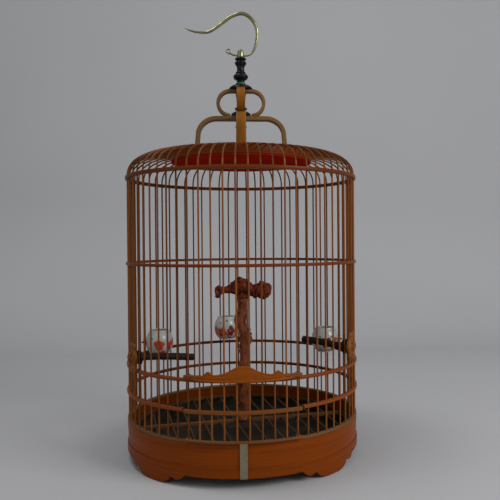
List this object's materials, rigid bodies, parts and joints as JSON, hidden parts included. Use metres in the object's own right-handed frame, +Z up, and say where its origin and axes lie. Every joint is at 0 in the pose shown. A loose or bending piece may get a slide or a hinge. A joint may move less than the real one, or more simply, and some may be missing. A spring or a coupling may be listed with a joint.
{
  "type": "bamboo bird cage",
  "caption": "Round bamboo bird cage with drilled hoops, a lifting front door, perches, cups, a root-wood stand and a swivelling hanging hook.",
  "frame": {"origin": "on the cage's axis, level with the ground under the feet", "axes": "+Z up along the cage's axis; the door and the drum's seam face -Y; +X is to the right of someone who looks at the door"},
  "size_m": [0.362, 0.3708, 0.6969],
  "materials": {
    "varnished_bamboo": "varnished bamboo, orange-brown, satin",
    "hoop_bamboo": "varnished bamboo, a shade darker, satin",
    "drum_wood": "varnished bent bamboo strip, satin",
    "pale_bamboo": "plain pale bamboo, matt",
    "crown_wood": "varnished brown wood",
    "red_lacquer": "red lacquer on wood",
    "handle_wood": "bent bamboo strip, oiled",
    "plate_wood": "carved bamboo plate, bright orange-brown",
    "dark_horn": "turned near-black wood or horn, polished",
    "jade": "green polished stone",
    "brass": "polished brass, slightly dulled",
    "clip_metal": "pale metal strip, worn",
    "tray_dark": "dark painted tray, matt",
    "porcelain": "glazed white porcelain with painted orange-red sprays",
    "ebony": "black wood, satin",
    "knob_wood": "carved olive-brown wood",
    "root_wood": "reddish-brown root wood, oiled"
  },
  "bodies": {
    "cage": {"base_drum": "drum_wood", "base_rim": "pale_bamboo", "foot_ring": "drum_wood", "seam_clip": "clip_metal", "droppings_tray": "tray_dark", "floor_grid": "pale_bamboo", "floor_crossbar": "pale_bamboo", "wall_bars_1": "varnished_bamboo", "wall_bars_2": "varnished_bamboo", "wall_bars_3": "varnished_bamboo", "wall_bars_4": "varnished_bamboo", "wall_bars_5": "varnished_bamboo", "wall_bars_6": "varnished_bamboo", "wall_bars_7": "varnished_bamboo", "wall_bars_over_door": "varnished_bamboo", "hoop_shoulder": "hoop_bamboo", "hoop_waist": "hoop_bamboo", "hoop_door_head": "hoop_bamboo", "hoop_low": "hoop_bamboo", "crown_board": "crown_wood", "crown_cover": "crown_wood", "crown_lining": "red_lacquer", "handle_arch_side_to_side": "handle_wood", "handle_arch_front_to_back": "handle_wood", "handle_loop_side_to_side": "handle_wood", "handle_loop_front_to_back": "handle_wood", "spindle_lower": "dark_horn", "spindle_middle": "dark_horn", "dome_cap": "dark_horn", "jade_washer": "jade", "finial": "dark_horn", "tie_rod": "brass", "cup_left": "porcelain", "cup_right": "porcelain", "cup_rear": "porcelain", "cup_pin_left": "varnished_bamboo", "cup_pin_right": "varnished_bamboo", "cup_pin_rear": "varnished_bamboo", "perch_left": "ebony", "perch_right": "ebony", "stand_post": "root_wood", "stand_head": "root_wood", "stand_peg": "varnished_bamboo"},
    "door": {"door_foot_rail": "varnished_bamboo", "door_middle_rail": "varnished_bamboo", "door_head_rail": "varnished_bamboo", "door_bar_1": "varnished_bamboo", "door_bar_2": "varnished_bamboo", "door_bar_3": "varnished_bamboo", "door_bar_4": "varnished_bamboo", "door_bar_5": "varnished_bamboo", "door_bar_6": "varnished_bamboo", "door_bar_7": "varnished_bamboo", "door_bar_8": "varnished_bamboo", "door_plate": "plate_wood"},
    "hanger": {"swivel_post": "brass", "hook": "brass"},
    "knob_left": {"perch_knob_left": "knob_wood"},
    "knob_right": {"perch_knob_right": "knob_wood"}
  },
  "joints": [
    {"name": "door_lift", "type": "slide", "parent": "cage", "child": "door", "axis": [0, 0, 1], "range_m": [0, 0.075]},
    {"name": "hook_swivel", "type": "hinge", "parent": "cage", "child": "hanger", "pos_m": [0, 0, 0.62], "axis": [0, 0, 1], "continuous": true},
    {"name": "knob_left_turn", "type": "hinge", "parent": "cage", "child": "knob_left", "pos_m": [-0.16, -0.09238, 0.1632], "axis": [-0.866, -0.5, 0], "continuous": true},
    {"name": "knob_right_turn", "type": "hinge", "parent": "cage", "child": "knob_right", "pos_m": [0.16, -0.09238, 0.1746], "axis": [0.866, -0.5, 0], "continuous": true}
  ]
}
